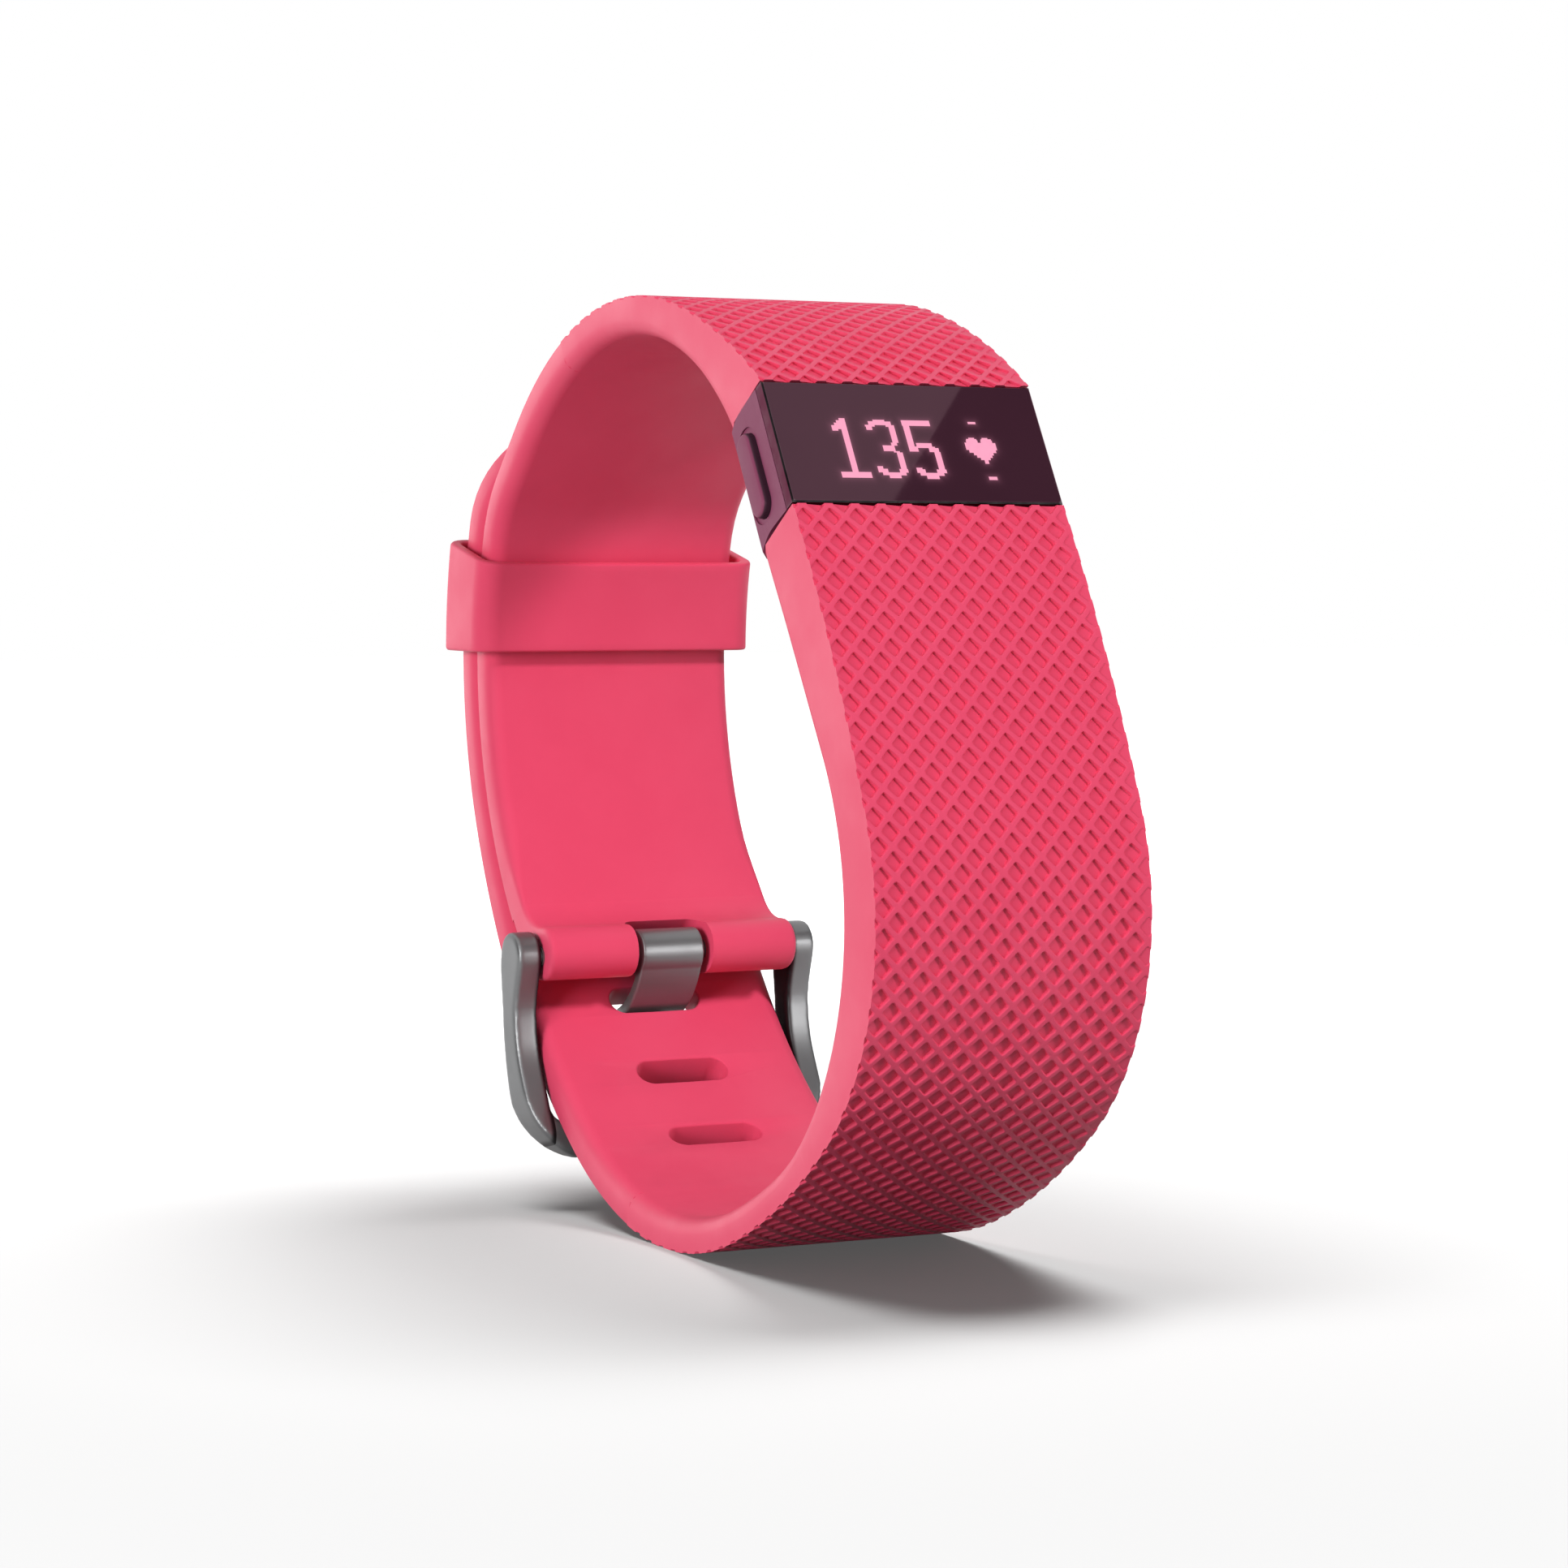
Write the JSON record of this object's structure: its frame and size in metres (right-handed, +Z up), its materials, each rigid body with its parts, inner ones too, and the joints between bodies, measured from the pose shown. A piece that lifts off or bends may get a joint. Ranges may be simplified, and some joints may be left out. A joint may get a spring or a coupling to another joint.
{
  "type": "fitness tracker band",
  "caption": "Closed wrist band with a flat tinted display module, side button, textured soft strap, sliding keeper and pin buckle.",
  "frame": {"origin": "middle of the wrist opening, midway across the band", "axes": "+X along the wrist towards the side away from the button, +Y towards the buckle side, +Z up; the display faces -Y and up"},
  "size_m": [0.0254, 0.0713, 0.0686],
  "materials": {
    "strap": "matt moulded elastomer, pink",
    "window": "tinted, polished",
    "case": "moulded, satin",
    "button": "moulded, satin",
    "buckle_steel": "polished",
    "adhesive": "black foam tape",
    "panel": "dark display glass",
    "flex": "amber film",
    "board": "solder mask",
    "cell": "foil pouch",
    "motor": "plain",
    "seal": "soft silicone",
    "black_plastic": "plain",
    "screw_steel": "plain",
    "lens": "polished",
    "led": "clear green",
    "contact": "gold plated"
  },
  "bodies": {
    "band": {"display_window": "window", "window_adhesive": "adhesive", "display_panel": "panel", "display_flex": "flex", "circuit_board": "board", "battery": "cell", "vibration_motor": "motor", "module_case": "case", "button_seal": "seal", "button_switch": "black_plastic", "rear_cover": "case", "cover_gasket": "seal", "cover_screws": "screw_steel", "sensor_window": "lens", "sensor_leds": "led", "photodiode": "black_plastic", "light_shield": "black_plastic", "charging_contacts": "contact", "long_strap": "strap", "short_strap": "strap"},
    "button": {"side_button": "button"},
    "keeper": {"keeper_loop": "strap"},
    "buckle": {"buckle_frame": "buckle_steel", "buckle_pin": "buckle_steel"},
    "tongue": {"buckle_tongue": "buckle_steel"}
  },
  "joints": [
    {"name": "button_press", "type": "slide", "parent": "band", "child": "button", "axis": [1, 0, 0], "range_m": [0, 0.0003], "stiffness_N_per_m": 4000},
    {"name": "keeper_slide", "type": "hinge", "parent": "band", "child": "keeper", "pos_m": [0, 0.0002, 0.0079], "axis": [1, 0, 0], "range_deg": [-28, 1.5]},
    {"name": "buckle_turn", "type": "hinge", "parent": "band", "child": "buckle", "pos_m": [0, 0.02159, -0.01495], "axis": [1, 0, 0], "range_deg": [0, 3]},
    {"name": "tongue_turn", "type": "hinge", "parent": "buckle", "child": "tongue", "pos_m": [0, 0.02159, -0.01495], "axis": [1, 0, 0], "range_deg": [0, 2]}
  ]
}
